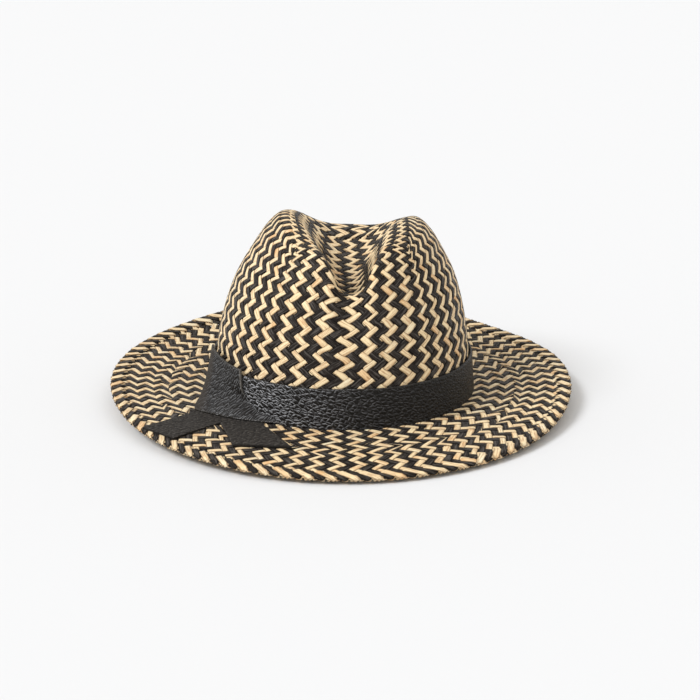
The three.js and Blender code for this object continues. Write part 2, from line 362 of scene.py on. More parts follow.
class Bundle:
    """Straw strands that go into one mesh."""

    def __init__(self):
        self.strands = []

    def add(self, middle, normal, half_width, tint):
        """middle and normal are points and directions along the strand."""
        course = unit(np.gradient(middle, axis=0))
        side = unit(np.cross(normal, course))
        over = np.cross(course, side)
        across = np.array([s["across"] for s in STRAND_SECTION])
        up = np.array([s["up"] for s in STRAND_SECTION])
        ring = middle[:, None, :] + side[:, None, :] * (half_width[:, None] * across)[..., None]
        ring = ring + over[:, None, :] * (STRAND_HALF_THICK * up)[:, None]
        self.strands.append((ring, run_along(middle), tint))

    def make(self, name, finish, strips):
        """The mesh, with each strand unrolled into its own strip of the bake's map."""
        count = len(STRAND_SECTION)
        rows = math.ceil(len(self.strands) / strips)
        verts, sides, caps, tints = [], [], [], []
        straw_map, bake_map, cap_straw, cap_bake = [], [], [], []
        first = 0
        for number, (ring, length, tint) in enumerate(self.strands):
            n = len(ring)
            k, s = np.meshgrid(np.arange(n - 1), np.arange(count), indexing="ij")
            near, far = k * count + s, (k + 1) * count + s
            turn = (s + 1) % count - s
            quads = np.stack([near, far, far + turn, near + turn], axis=-1)
            sides.append(quads.reshape(-1, 4) + first)
            ends = np.arange(count)
            caps.append(np.stack([ends, ends[::-1] + (n - 1) * count]) + first)
            run = np.stack([length[k], length[k + 1], length[k + 1], length[k]], axis=-1)
            wrap = np.stack([s, s, s + 1, s + 1], axis=-1) / count
            run, wrap = run.reshape(-1, 4), wrap.reshape(-1, 4)
            straw_map.append(np.stack([run * MM, wrap * STRIP_WRAP + number * STRIP_STEP], axis=-1))
            left = (number % strips + STRIP_MARGIN) / strips
            room = (1 - 2 * STRIP_MARGIN) / strips / length[-1]
            low = (number // strips + STRIP_MARGIN) / rows
            tall = (1 - 2 * STRIP_MARGIN) / rows
            bake_map.append(np.stack([left + run * room, low + wrap * tall], axis=-1))
            for place in (0.0, length[-1]):
                cap_straw.append(np.tile([place * MM, number * STRIP_STEP], (1, count, 1)))
                cap_bake.append(np.tile([left + place * room, low], (1, count, 1)))
            verts.append(ring.reshape(-1, 3))
            tints.append(np.full(n * count, tint))
            first += n * count
        faces = [np.concatenate(sides), np.concatenate(caps)]
        maps = {
            "Straw": [np.concatenate(straw_map), np.concatenate(cap_straw)],
            "OFBake": [np.concatenate(bake_map), np.concatenate(cap_bake)],
        }
        side = np.abs([s["across"] for s in STRAND_SECTION]) == 1
        marks = {"tint": np.concatenate(tints), "side": np.tile(side, first // count)}
        return make_mesh(name, resting(np.concatenate(verts)), faces, maps, marks, finish)


def two_bundles():
    return {"natural": Bundle(), "black": Bundle()}


# All the differences between strands come from these dice
dice = np.random.default_rng(7)


def on_top(level, leaning_right, phase):
    """Whether a strand shows at a level of crossings: for two levels, then not for two."""
    return ((level - phase) % CROSSINGS < CROSSINGS // 2) == leaning_right


# Crown: a mat along the top, eight columns wide, whose strands run on down the wall round it

CROWN_NODES = CROWN_COLUMNS * CROSSINGS
WALL_LEVELS = CROWN_ROWS * CROSSINGS
MAT_HALF = MAT_HALF_COLUMNS * CROSSINGS
MAT_LEVELS = MAT_ROWS * CROSSINGS
FRONT = -math.pi / 2

# The mat's outline in plan. Its front bows out a little, and its back bows in.
MAT_CENTRE = 4.5
MAT_HALF_WIDTH = 36
MAT_HALF_WIDTH_MIDDLE = 40
MAT_HALF_LENGTH = 62
MAT_CORNER_CUT = 5
MAT_BACK_BOW = 17

# How much the mat's rows crowd towards the notch, what a slope counts for in its columns, and
# the step that finds its slope, in millimetres
MAT_CROWDING = 0.5
MAT_SLOPE_SHARE = 0.4
MAT_STEP = 0.4

# The wall's columns start WALL_DRIFT crossings to the side and turn to the mat mostly near the
# top. Its rows are as high as in a column WALL_RUN long, except near the top.
WALL_BEND = 1.6
WALL_RUN = 128
WALL_EASE = 6
WALL_DRIFT = 2.5

# Unevenness of the hand: how far a crossing slips, as a share of the way to the next
UNEVENNESS = 0.05


def mat_spots():
    """Places in plan of the mat's crossings, [node, level], closer where it slopes steeply."""
    share, fine = np.meshgrid(np.arange(MAT_LEVELS + 1) / MAT_LEVELS, np.linspace(-1, 1, MAT_LINE_STEPS + 1))
    half = MAT_HALF_WIDTH + (MAT_HALF_WIDTH_MIDDLE - MAT_HALF_WIDTH) * np.sin(np.pi * share)
    across_to = lambda f: MAT_CENTRE + f * half[:1]
    front = lambda f: -MAT_HALF_LENGTH + MAT_CORNER_CUT * f**2
    back = lambda f: MAT_HALF_LENGTH - MAT_CORNER_CUT - MAT_BACK_BOW * (1 - f**2)
    back_to = lambda f: front(f) + (back(f) - front(f)) * share[:1] ** (1 + MAT_CROWDING * (1 - f**2))
    slopes = np.array([1, 1, MAT_SLOPE_SHARE])
    length = run_along(crown_over(across_to(fine), back_to(fine)) * slopes)
    even = np.linspace(0, 1, 2 * MAT_HALF + 1)
    f = np.stack([np.interp(even, run / run[-1], fine[:, 0]) for run in length.T], axis=1)
    return across_to(f), back_to(f)


def mat_edge(node):
    """The mat's crossing that a column of the wall comes up to."""
    node = (node + MAT_HALF) % CROWN_NODES - MAT_HALF
    right = MAT_HALF + MAT_LEVELS
    back = right + 2 * MAT_HALF
    if node <= MAT_HALF:
        return node, 0
    if node <= right:
        return MAT_HALF, node - MAT_HALF
    if node <= back:
        return CROWN_NODES // 2 - node, MAT_LEVELS
    return -MAT_HALF, CROWN_NODES - MAT_HALF - node


def way_round(ring_at, steps):
    """Shares of the way round a ring, from the front, and the angles there. ring_at gives the
    ring's points at angles."""
    fine = np.linspace(0, 2 * np.pi, steps + 1) + FRONT
    length = run_along(ring_at(fine))
    return length / length[-1], fine


def angle_at(share, way):
    """Angle at a share of the way round a ring."""
    whole = np.floor(share)
    return np.interp(share - whole, *way) + 2 * np.pi * whole


def uneven(spots):
    """Crossings moved a little along their rows and columns, as in plaiting done by hand."""
    moved = spots.copy()
    for axis in (0, 1):
        moved += np.gradient(spots, axis=axis) * dice.normal(0, UNEVENNESS, spots.shape[:2] + (1,))
    return moved


def crown_lattice():
    """Points and normals of the wall's crossings, [node, level], and of the mat's."""
    nodes = np.arange(CROWN_NODES)
    base = angle_at((nodes - WALL_DRIFT) / CROWN_NODES, way_round(join_point, JOIN_STEPS))
    mat_x, mat_y = mat_spots()
    edge = np.array([mat_edge(node) for node in nodes])
    edge = (edge[:, 0] + MAT_HALF, edge[:, 1])
    edge_angle, edge_t = crown_under(mat_x[edge], mat_y[edge])
    turn = (edge_angle - base + np.pi) % (2 * np.pi) - np.pi
    share = np.linspace(0, 1, COLUMN_STEPS + 1)
    rise = lambda f: (base[:, None] + turn[:, None] * f**WALL_BEND, edge_t[:, None] * f)
    path = crown_point(*rise(np.broadcast_to(share, (CROWN_NODES, len(share)))))
    length = run_along(np.swapaxes(path, 0, 1)).T
    levels = np.arange(WALL_LEVELS + 1) / WALL_LEVELS
    eased = lambda whole: WALL_RUN * levels + (whole - WALL_RUN) * levels**WALL_EASE
    f = np.array([np.interp(eased(row[-1]), row, share) for row in length])
    angle, t = rise(f)
    wall = uneven(crown_point(angle, t))
    wall_normal = square_to(crown_point, angle, t)
    mat = uneven(crown_over(mat_x, mat_y))
    return wall, wall_normal, mat, square_to(crown_over, mat_x, mat_y, MAT_STEP)


def crown_walk(start, lean):
    """Follows one strand from the join up the wall, over the mat and down again. Gives its
    crossings as (on the mat?, node, level, leans right?) and its last node at the join, or
    None if it ends at a corner of the mat."""
    steps = []
    for level in range(WALL_LEVELS + 1):
        node = start + lean * level
        steps.append((False, node % CROWN_NODES, level, lean > 0))
    across, up = mat_edge(node)
    if abs(across) != MAT_HALF or up not in (0, MAT_LEVELS):
        if up in (0, MAT_LEVELS):
            step_up = 1 if up == 0 else -1
            step_across = lean * step_up
        else:
            step_across = -1 if across > 0 else 1
            step_up = -lean * step_across
        while True:
            across, up = across + step_across, up + step_up
            at_side, at_end = abs(across) == MAT_HALF, up in (0, MAT_LEVELS)
            if at_side == at_end:
                steps.append((True, across, up, step_across * step_up > 0))
            if at_side or at_end:
                break
        if at_side and at_end:
            return steps, None
        if up == 0:
            node, lean = across, step_across
        elif up == MAT_LEVELS:
            node, lean = CROWN_NODES // 2 - across, -step_across
        elif across > 0:
            node, lean = MAT_HALF + up, step_up
        else:
            node, lean = CROWN_NODES - MAT_HALF - up, -step_up
        steps.append((False, node % CROWN_NODES, WALL_LEVELS, lean < 0))
    for level in range(WALL_LEVELS - 1, -1, -1):
        node += lean
        steps.append((False, node % CROWN_NODES, level, lean < 0))
    return steps, node % CROWN_NODES


def plait_crown():
    """The crown's strands."""
    wall, wall_normal, mat, mat_normal = crown_lattice()
    bundles = two_bundles()
    seen = set()
    for start in range(0, CROWN_NODES, 2):
        for lean in (1, -1):
            if (start, lean) in seen:
                continue
            steps, end = crown_walk(start, lean)
            if end is not None:
                seen.add((end, 1 if steps[-1][3] else -1))
            place, normal, spread, high, crossed = [], [], [], [], []
            for is_mat, node, level, leaning_right in steps:
                if is_mat:
                    k = node + MAT_HALF
                    place.append(mat[k, level])
                    normal.append(mat_normal[k, level])
                    middle = min(max(k, 1), 2 * MAT_HALF - 1)
                    spread.append(mat[middle + 1, level] - mat[middle - 1, level])
                    row_level = WALL_LEVELS + level
                else:
                    place.append(wall[node, level])
                    normal.append(wall_normal[node, level])
                    spread.append(wall[(node + 1) % CROWN_NODES, level] - wall[node - 1, level])
                    row_level = level
                high.append(1 if on_top(row_level, leaning_right, CROWN_PHASE) else -1)
                crossed.append((node + level if leaning_right else node - level) // 2 + 1)
            colour = straw_colour(start // 2 + 1)
            lay_strand(bundles, colour, place, normal, spread, high, crossed)
    return bundles


def straw_colour(number):
    """Every other strand is natural."""
    return "natural" if number % STRANDS == 0 else "black"


def finer(values, i, f):
    """A path's values at shares f of the way from crossing i to the next, on a smooth curve."""
    last = len(values) - 1
    near = [values[np.clip(i + k, 0, last)] for k in (-1, 0, 1, 2)]
    return catmull_rom(*near, f if values.ndim == 1 else f[:, None])


def half_across(place, spread):
    """Half of a strand's width, square to its own course."""
    course = unit(np.gradient(place, axis=0))
    beside = spread - course * np.sum(spread * course, axis=1)[:, None]
    return np.linalg.norm(beside, axis=1) / 2


# A strand dives at the seam between two others: within this share of the way to the next
# crossing on each side, by this part of its whole dive. The slack takes up rounding.
SEAM_RUN = 0.2
SEAM_SHARE = 0.8
SEAM_SLACK = 1.01


def lay_strand(bundles, colour, place, normal, spread, high, crossed):
    """One strand over and under the others. spread reaches across one strand and its share of
    the gaps, high is 1 where the strand is on top and -1 where it is below, and crossed counts
    the strands that it meets."""
    place, normal, spread, high = (np.array(row, float) for row in (place, normal, spread, high))
    met = np.array([STRAND_WIDTHS[straw_colour(number)] for number in crossed])
    seam = met[:-1] / (met[:-1] + met[1:])
    gaps = np.arange(len(high) - 1)
    i = np.concatenate([np.repeat(gaps, 3), gaps[-1:]])
    f = np.concatenate([np.stack([0 * seam, seam - SEAM_RUN, seam + SEAM_RUN], axis=1).ravel(), [1.0]])
    at_seam = np.abs(f - seam[i]) <= SEAM_RUN * SEAM_SLACK
    before, after = high[i], high[i + 1]
    dive = before + (after - before) * (0.5 + (f - seam[i]) / (2 * SEAM_RUN) * SEAM_SHARE)
    rise = np.where(at_seam, dive, np.where(f < seam[i], before, after))
    place, normal, spread = (finer(path, i, f) for path in (place, normal, spread))
    normal = unit(normal)
    run = (i + f) / CROSSINGS
    wobble = np.sin(run * SLOW_WAVE + dice.random() * WAVE_START)
    wobble = wobble + np.sin(run * QUICK_WAVE + dice.random() * WAVE_START)
    own = 1 + WIDTH_SPREAD * (2 * dice.random() - 1) + WIDTH_WOBBLE * wobble
    half = half_across(place, spread) * (STRAND_WIDTHS[colour] * own)
    place = place + normal * (rise * WEAVE_DEPTH - STRAW / 2)[:, None]
    bundles[colour].add(place, normal, half, dice.random())


# Brim: rows run round it. Part of the way out, new strands make every two columns three, so
# that the straw keeps its width.

BRIM_COLUMNS = 48
BRIM_BLOCK = 2 * STRANDS
BRIM_ADDED = STRANDS
BRIM_START = 0.9
BRIM_ROWS = 6.2
BRIM_PHASE = 3

# The strands run on below the rim, in millimetres, and below the crown, in rows
BRIM_MEAN_REACH = 68
RIM_LAP = 2.0
JOIN_LAP = 0.1

# Where new strands come in, in rows, how long they grow, how much their place varies, and how
# wide they begin, as a share of a strand
FORK_ROW = 4
FORK_SPAN = 1.6
FORK_JITTER = 0.5
FORK_WIDTH = 0.05

# Round the brim, even along its middle
BRIM_WAY = way_round(lambda angle: brim_point(angle, np.full(angle.shape, 0.5)), BRIM_STEPS)


def brim_angle(share):
    """Angle at a share of the way round the brim."""
    return angle_at(share, BRIM_WAY)


def brim_at(share, d):
    """Top face of the brim at a share of the way round it."""
    return brim_point(brim_angle(share), d)


def plait_brim():
    """The brim's strands."""
    bundles = two_bundles()
    blocks = BRIM_COLUMNS * STRANDS // BRIM_BLOCK
    inner_pitch = 1 / (BRIM_COLUMNS * STRANDS)
    outer_pitch = inner_pitch * BRIM_BLOCK / (BRIM_BLOCK + BRIM_ADDED)
    last_row = BRIM_START + BRIM_ROWS * (1 - (RIM_WIDTH - RIM_LAP) / BRIM_MEAN_REACH)
    for lean in (1, -1):
        jitter = (dice.random(blocks) * 2 - 1) * FORK_JITTER
        for block in range(blocks):
            fork = FORK_ROW + jitter[block]
            for k in range(BRIM_BLOCK + BRIM_ADDED):
                added = k >= BRIM_BLOCK
                inner = block * BRIM_BLOCK + min(k, BRIM_BLOCK - 0.5)
                outer = block * (BRIM_BLOCK + BRIM_ADDED) + k - FORK_ROW * STRANDS // 2
                first = fork - FORK_SPAN / 2 if added else BRIM_START - JOIN_LAP
                levels = np.arange(math.floor(first * CROSSINGS), math.floor(last_row * CROSSINGS) + 1)
                row = levels / CROSSINGS
                grown = smooth_step((row - fork) / FORK_SPAN + 0.5)
                inner_turn = STRANDS * row * inner_pitch - inner * inner_pitch
                outer_turn = STRANDS * row * outer_pitch - outer * outer_pitch
                turn = lean * (inner_turn + (outer_turn - inner_turn) * grown)
                inner_wide = FORK_WIDTH * inner_pitch if added else inner_pitch
                wide = inner_wide + (outer_pitch - inner_wide) * grown
                d = (row - BRIM_START) / BRIM_ROWS
                beside = brim_at(turn + wide / 2, d) - brim_at(turn - wide / 2, d)
                high = np.where(on_top(levels, lean > 0, BRIM_PHASE), 1, -1)
                normal = square_to(brim_at, turn, d)
                lay_strand(bundles, straw_colour(k), brim_at(turn, d), normal, beside, high, levels - k)
    return bundles


# Rim: a strip of its own, wrapped over the brim's edge from the top to the underside

# A strand leans by RIM_SLANT columns on each side of the brim, and takes RIM_STEPS steps in all
RIM_COLUMNS = 76
RIM_SLANT = 0.85
RIM_STEPS = 14
RIM_WIDTHS = {"natural": 1.15, "black": 0.95}

# How far in from the edge the strip begins, and the radius and depth of its bend over the edge
RIM_STRIP = 8.3
RIM_ROUND = 0.9
RIM_CORE = STRAW / 2

# Heights of a strand in the strip, in RIM_DEPTH: on top, below, and at its tucked ends
RIM_DEPTH = 0.28
RIM_STACK = {"natural": 1.0, "black": 0.75}
RIM_BELOW = -1.0
RIM_TUCK = -2.0

# Between these directions the strands that lean the other way are on top
RIM_TURNED_FROM = math.radians(-62)
RIM_TURNED_TO = math.radians(80)


def rim_point(turn, w):
    """Middle of the strip: w goes from 0 at its inner edge on top to 1 at its inner edge below."""
    angle = brim_angle(turn)
    reach = around(BRIM_DIRECTIONS, "reach", angle)
    flat = RIM_STRIP - STRAW / 2 - RIM_EXTRA
    bend = math.pi * RIM_ROUND
    run = w * (2 * flat + bend)
    psi = np.clip((run - flat) / RIM_ROUND, 0, math.pi)
    out = np.where(run < flat, run - flat, np.where(run > flat + bend, flat + bend - run, 0.0))
    d = (reach - STRAW / 2 - RIM_EXTRA + out) / reach
    normal = square_to(brim_at, turn, d)
    core = brim_at(turn, d) - normal * RIM_CORE
    ahead = unit(brim_at(turn, d + SLOPE_STEP) - brim_at(turn, d - SLOPE_STEP))
    direction = normal * np.cos(psi)[..., None] + ahead * np.sin(psi)[..., None]
    return core + direction * RIM_ROUND, direction


def plait_rim():
    """The strip's strands."""
    bundles = two_bundles()
    pitch = 1 / (RIM_COLUMNS * STRANDS)
    w = np.linspace(0, 1, RIM_STEPS + 1)
    for lean in (1, -1):
        for k in range(RIM_COLUMNS * STRANDS):
            turn = lean * (2 * RIM_SLANT * w / RIM_COLUMNS - k * pitch)
            place, normal = rim_point(turn, w)
            beside = rim_point(turn + pitch / 2, w)[0] - rim_point(turn - pitch / 2, w)[0]
            angle = (brim_angle(turn) + np.pi) % (2 * np.pi) - np.pi
            turned = (angle > RIM_TURNED_FROM) & (angle < RIM_TURNED_TO)
            over = (w < 0.5) == ((lean > 0) ^ turned)
            colour = straw_colour(k)
            high = np.where(over, RIM_STACK[colour], RIM_BELOW)
            high[[0, -1]] = RIM_TUCK
            high[RIM_STEPS // 2] = 0
            own = RIM_WIDTHS[colour] * (1 + WIDTH_SPREAD * (2 * dice.random() - 1))
            place = place + normal * high[:, None] * RIM_DEPTH
            bundles[colour].add(place, normal, half_across(place, beside) * own, dice.random())
    return bundles


# Leather

# How full a strap is at shares of its width from a cut edge. Its levels are even from
# STRAP_INSIDE on, and its steps as far as STRAP_EVEN.
STRAP_EDGE = [
    dict(share=0.0, full=0.45),
    dict(share=0.012, full=0.85),
    dict(share=0.035, full=1.0),
]
STRAP_INSIDE = 0.08
STRAP_EVEN = 0.97

# How much a strap's long edges show the painted edge highlight and the rougher cut, and how far off on the
# hide its back lies
EDGE_CUT = 0.2
HIDE_BACK = 0.06

# Band, and the slow waves of its upper edge
BAND_BOTTOM = 0.8
BAND_TOP = 27
BAND_STEPS = 360
BAND_LEVELS = 10
BAND_WAVES = [
    dict(height=0.25, waves=3, start=1),
    dict(height=0.12, waves=11, start=0),
]

# Loop, in rows from its bottom edge to its top: the directions round the crown where it starts,
# folds and ends, in degrees, and how far its fold stands off the crown
LOOP_GAP = 0.6
LOOP_BOTTOM = 2.6
LOOP_START_TOP = 31
LOOP_FOLD_TOP = 36
LOOP_END_TOP = 34
LOOP_STEPS = 56
LOOP_LAST_STEP = 0.99
LOOP_LEVELS = 18
LOOP_ROWS = [
    dict(start=242, fold=207.5, end=190, bulge=20),
    dict(start=226, fold=206, end=190, bulge=14),
    dict(start=221.5, fold=204.5, end=189, bulge=10),
    dict(start=220, fold=201, end=188, bulge=6),
    dict(start=219, fold=196, end=187, bulge=2.2),
]

# How round the loop's fold is, how hollow its upper edge, and how slowly it leaves the band
LOOP_ROUNDING = 0.2
LOOP_HOLLOW = 0.8
LOOP_FLARE = 1.3

# The loop's front edge comes free of the band between these shares of its height. Below them it
# grows out of the band over a share of its length.
LOOP_SLIT_FROM = 0.35
LOOP_SLIT_TO = 0.6
LOOP_GROWTH = 0.3
LOOP_ROOT = 0.25

# The loop turns matte just before its fold. It is cut from this place on the hide, in metres.
LOOP_MATTE_FROM = 0.8
LOOP_MATTE_SPAN = 0.15
LOOP_HIDE = 0.4

# Tails: places in plan of the two long edges, from the knot to the cut end
TAILS = {
    "tail_left": [
        dict(a_x=-87.8, a_y=-50, b_x=-67.7, b_y=-70.3),
        dict(a_x=-108.9, a_y=-70.3, b_x=-88.9, b_y=-89.7),
        dict(a_x=-130, a_y=-90.6, b_x=-110, b_y=-109),
    ],
    "tail_right": [
        dict(a_x=-72, a_y=-72.3, b_x=-53, b_y=-86.4),
        dict(a_x=-81, a_y=-83, b_x=-53, b_y=-92),
        dict(a_x=-73, a_y=-124, b_x=-36.5, b_y=-131),
    ],
}
TAIL_CURL = 1.2
TAIL_STEPS = 30
TAIL_LAST_STEP = 0.985
TAIL_LEVELS = 12


def strap_levels(count):
    """Shares across a strap, closer together at its two cut edges, and how full it is there."""
    near = np.array([row["share"] for row in STRAP_EDGE])
    inside = np.linspace(STRAP_INSIDE, 1 - STRAP_INSIDE, count)
    share = np.concatenate([near, inside, 1 - near[::-1]])
    return share, np.interp(np.minimum(share, 1 - share), near, [row["full"] for row in STRAP_EDGE])


def strap_steps(count, last_step):
    """Shares along a strap, closer together at its cut end."""
    return np.concatenate([np.linspace(0, STRAP_EVEN, count), [last_step, 1.0]])[:, None]


def strap_mesh(name, outer, inner, closed, grain, finish, matte=0.0, end_cut=None):
    """A strap between two sheets of points [along, across, 3]. grain is its place in metres on the
    hide, [along, across, 2], matte marks where it has no shine, and end_cut says how much its two
    ends show the painted edge highlight and the rougher cut."""
    ring = np.concatenate([outer, inner[:, ::-1]], axis=1)
    along_count, count = ring.shape[:2]
    half = count // 2
    last = along_count if closed else along_count - 1
    i, j = np.meshgrid(np.arange(last), np.arange(count), indexing="ij")
    i_next, j_next = (i + 1) % along_count, (j + 1) % count
    corner = lambda a, b: a * count + b
    order = [(i, j), (i_next, j), (i_next, j_next), (i, j_next)]
    quads = np.stack([corner(a, b) for a, b in order], axis=-1).reshape(-1, 4)
    hide = np.concatenate([grain, grain[:, ::-1] + [0, HIDE_BACK]], axis=1)
    hide = np.concatenate([hide, hide[-1:] * 2 - hide[-2:-1]], axis=0)
    places = [hide[i, j], hide[i + 1, j], hide[i + 1, j_next], hide[i, j_next]]
    places = np.stack(places, axis=-2).reshape(-1, 4, 2)
    faces, maps = [quads], {"Hide": [places]}
    if not closed:
        for row, flip in ((0, 1), (along_count - 1, -1)):
            b = np.arange(half - 1)
            strip = [b, b + 1, count - 2 - b, count - 1 - b][::flip]
            faces.append(np.stack([corner(row, c) for c in strip], axis=-1))
            maps["Hide"].append(np.stack([hide[row, c] for c in strip], axis=-2))
    tips = ring.reshape(-1, 3)
    a, b, c, d = (tips[quads[:, k]] for k in range(4))
    volume = np.sum(a * np.cross(b, c)) + np.sum(a * np.cross(c, d))
    if volume < 0:
        faces = [f[:, ::-1] for f in faces]
        maps["Hide"] = [m[:, ::-1] for m in maps["Hide"]]
    edge = np.zeros((along_count, count))
    edge[:, [0, 1, half - 2, half - 1, half, half + 1, count - 2, count - 1]] = EDGE_CUT
    if end_cut is not None:
        edge[[0, -1]] = np.concatenate([end_cut, end_cut[::-1]])
    matte = np.broadcast_to(matte, (along_count, half))
    marks = {"edge": edge.ravel(), "matte": np.concatenate([matte, matte[:, ::-1]], axis=1).ravel()}
    return make_mesh(name, resting(tips), faces, maps, marks, finish)


def make_band(finish):
    angle = np.linspace(0, 2 * np.pi, BAND_STEPS, endpoint=False)[:, None]
    share, full = strap_levels(BAND_LEVELS)
    height = BAND_BOTTOM + (BAND_TOP - BAND_BOTTOM) * share
    for wave in BAND_WAVES:
        height = height + wave["height"] * share * np.sin(wave["waves"] * angle + wave["start"])
    middle = GAP + LEATHER / 2
    outer = wall_point(angle, height, middle + LEATHER / 2 * full)
    inner = wall_point(angle, height, middle - LEATHER / 2 * full)
    length = 2 * np.pi * (BASE_HALF_WIDTH + BASE_HALF_LENGTH) / 2 * MM
    hide = np.stack(np.broadcast_arrays(angle / (2 * np.pi) * length, height * MM), axis=-1)
    return strap_mesh("leather_band", outer, inner, True, hide, finish)


def loop_bulge(share, fold_share, bulge):
    """How far the loop's inner face stands off the band: a rounded tent."""
    front = np.maximum(share / fold_share, 0) ** LOOP_FLARE
    back = (1 - share) / (1 - fold_share)
    near = np.maximum(LOOP_ROUNDING - np.abs(front - back), 0) / LOOP_ROUNDING
    tent = np.minimum(front, back) - near * near * LOOP_ROUNDING / 4
    return bulge * np.maximum(tent, 0)


def make_loop(finish):
    rise, full = strap_levels(LOOP_LEVELS)
    share = strap_steps(LOOP_STEPS, LOOP_LAST_STEP)
    start, fold, end = (along(LOOP_ROWS, name, rise) for name in ("start", "fold", "end"))
    fold_share = (start - fold) / (start - end)
    angle = np.radians(start + (end - start) * share)
    lean = np.minimum(share / fold_share, 1) ** (1 + LOOP_HOLLOW * rise)
    start_height = LOOP_BOTTOM + (LOOP_START_TOP - LOOP_BOTTOM) * rise
    back_top = np.where(share < fold_share, LOOP_FOLD_TOP, LOOP_END_TOP)
    height = start_height + (LOOP_BOTTOM + (back_top - LOOP_BOTTOM) * rise - start_height) * lean
    bulge = loop_bulge(share, fold_share, along(LOOP_ROWS, "bulge", rise))
    free = smooth_step((rise - LOOP_SLIT_FROM) / (LOOP_SLIT_TO - LOOP_SLIT_FROM))
    grown = np.maximum(free, smooth_step(share / LOOP_GROWTH))
    off_band = GAP + LEATHER + LOOP_GAP * grown + bulge + (LEATHER - LEATHER * full) / 2 * grown
    inner = wall_point(angle, height, off_band - LOOP_ROOT * (1 - grown))
    outer = wall_point(angle, height, off_band + LEATHER * full * grown)
    along_hide = np.radians(start - start[0] + (end - start) * share) * -BASE_HALF_LENGTH * MM
    hide = np.stack(np.broadcast_arrays(height * MM, along_hide + LOOP_HIDE), axis=-1)
    matte = smooth_step((share / fold_share - LOOP_MATTE_FROM) / LOOP_MATTE_SPAN)
    return strap_mesh("knot_loop", outer, inner, False, hide, finish, matte, free)


def make_tail(name, edges, finish):
    share = strap_steps(TAIL_STEPS, TAIL_LAST_STEP)
    across, full = strap_levels(TAIL_LEVELS)
    place = share * (len(edges) - 1)
    column = lambda key: np.interp(place, np.arange(len(edges)), [e[key] for e in edges])
    x = column("a_x") + (column("b_x") - column("a_x")) * across
    y = column("a_y") + (column("b_y") - column("a_y")) * across
    z = brim_height(x, y) + GAP + RIM_EXTRA + TAIL_CURL * share**2
    half = LEATHER / 2 * full
    outer = points(x, y, z + LEATHER / 2 + half)
    inner = points(x, y, z + LEATHER / 2 - half)
    hide = np.stack([x, y], axis=-1) * MM
    return strap_mesh(name, outer, inner, False, hide, finish)


# Finishes

class Value:
    """A node's output. An expression on it adds its Math nodes."""

    def __init__(self, finish, socket):
        self.finish, self.socket = finish, socket

    def math(self, operation, *others):
        return self.finish.node("Math", {"operation": operation}, dict(enumerate((self, *others))))

    def __add__(self, other):
        return self.math("ADD", other)

    def __sub__(self, other):
        return self.math("SUBTRACT", other)

    def __rsub__(self, other):
        return self.finish.node("Math", {"operation": "SUBTRACT"}, {0: other, 1: self})

    def __mul__(self, other):
        return self.math("MULTIPLY", other)

    __radd__ = __add__
    __rmul__ = __mul__


class Finish:
    """A material in the making."""

    def __init__(self, name):
        self.material = bpy.data.materials.new(name)
        self.material.use_nodes = True
        self.tree = self.material.node_tree
        self.tree.nodes.clear()

    def node(self, kind, settings, sockets, out=0):
        """Adds a node: its settings first, then the values or links of its sockets."""
        made = self.tree.nodes.new("ShaderNode" + kind)
        for key, value in settings.items():
            if key == "stops":
                elements = made.color_ramp.elements
                elements.remove(elements[1])
                (elements[0].position, elements[0].color), *later = value
                for place, colour in later:
                    elements.new(place).color = colour
            else:
                setattr(made, key, value)
        for key, value in sockets.items():
            socket = made.inputs[key]
            if isinstance(value, Value):
                self.tree.links.new(value.socket, socket)
            else:
                socket.default_value = value
        return Value(self, made.outputs[out])

    def mark(self, name):
        """A value that the mesh carries."""
        return self.node("Attribute", {"attribute_name": name}, {}, 2)

    def noise(self, where, scale, detail=2.0, roughness=0.5):
        sockets = {"Vector": where, "Scale": scale, "Detail": detail, "Roughness": roughness}
        return self.node("TexNoise", {}, sockets)

    def vector(self, operation, *inputs):
        return self.node("VectorMath", {"operation": operation}, dict(enumerate(inputs)))

    def stretched(self, where, scale, turn=0.0):
        turned = self.node("VectorRotate", {"rotation_type": "Z_AXIS"}, {"Vector": where, "Angle": turn})
        return self.vector("MULTIPLY", turned, scale)

    def ramp(self, factor, *stops):
        return self.node("ValToRGB", {"stops": stops}, {"Fac": factor})

    def mix(self, factor, first, second):
        return self.node("Mix", {"data_type": "RGBA"}, {"Factor": factor, 6: first, 7: second}, 2)

    def bump(self, height, distance):
        return self.node("Bump", {}, {"Height": height, "Distance": distance})

    def surface(self, **sockets):
        named = {key.replace("_", " ").title().replace("Ior", "IOR"): v for key, v in sockets.items()}
        shader = self.node("BsdfPrincipled", {}, named)
        out = self.tree.nodes.new("ShaderNodeOutputMaterial")
        self.tree.links.new(shader.socket, out.inputs["Surface"])
        return self.material


def linear(r, g, b):
    """A colour read off in 0 to 255, as the shader wants it."""
    turn = lambda c: c / 12.92 if c <= 0.04045 else ((c + 0.055) / 1.055) ** 2.4
    return (*(turn(c / 255) for c in (r, g, b)), 1)


def grey(value):
    return (value, value, value, 1)


# Straw, for each metre along a strand and across it: its fibres and its patches of tone
FIBRES = (80, 2600, 1)
FIBRE_DEPTH = 0.0005
PATCHES = (110, 200, 1)

# Leather, for each metre of hide: pores, patches where the painted highlight is weaker, and pushes that set
# pebbles out of line
PORES = 800
HIGHLIGHT_PATCHES = 330
PUSHES = 300
PEBBLE_PUSH = (0.0013,) * 3
PEBBLE_STRETCH = (0.55, 1.05, 1)
PEBBLE_DEPTH = 0.0004
DULL_LEATHER = linear(96, 88, 80)
# Colour of the painted highlight on the straps' cut edges
EDGE_HIGHLIGHT = linear(140, 134, 126)


